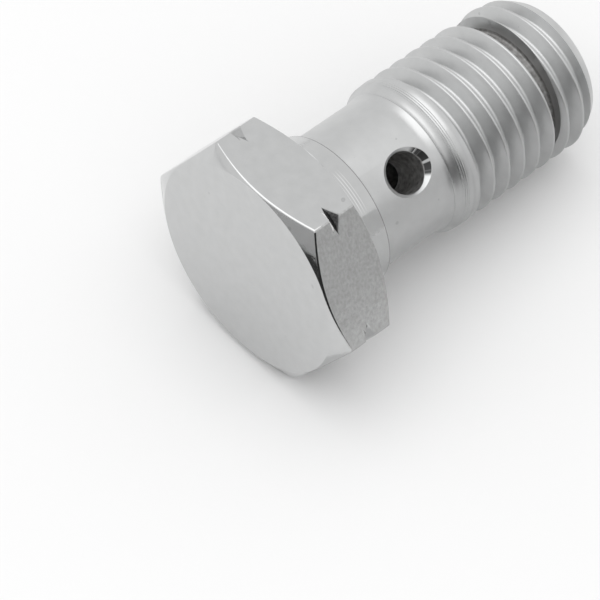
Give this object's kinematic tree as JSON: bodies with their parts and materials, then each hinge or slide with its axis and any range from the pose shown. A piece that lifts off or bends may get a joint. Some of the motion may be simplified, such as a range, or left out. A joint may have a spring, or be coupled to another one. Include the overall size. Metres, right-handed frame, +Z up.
{
  "type": "banjo bolt",
  "caption": "Hollow hex-head bolt with a waisted, cross-drilled shank and a fine-pitch thread, for sealing a banjo eye to a port",
  "frame": {"origin": "under the middle of the bolt's box, on the surface that it lies on", "axes": "+X along the bolt from the head towards the tip, seen from above; +Z up, away from the surface; the bolt's own axis dips 6.1 degrees towards the tip"},
  "size_m": [0.0252, 0.0162, 0.0144],
  "materials": {
    "plated_steel": "bright nickel or chrome plate over turned steel, satin on some flats"
  },
  "bodies": {
    "root": {"banjo_bolt": "plated_steel"}
  },
  "joints": []
}
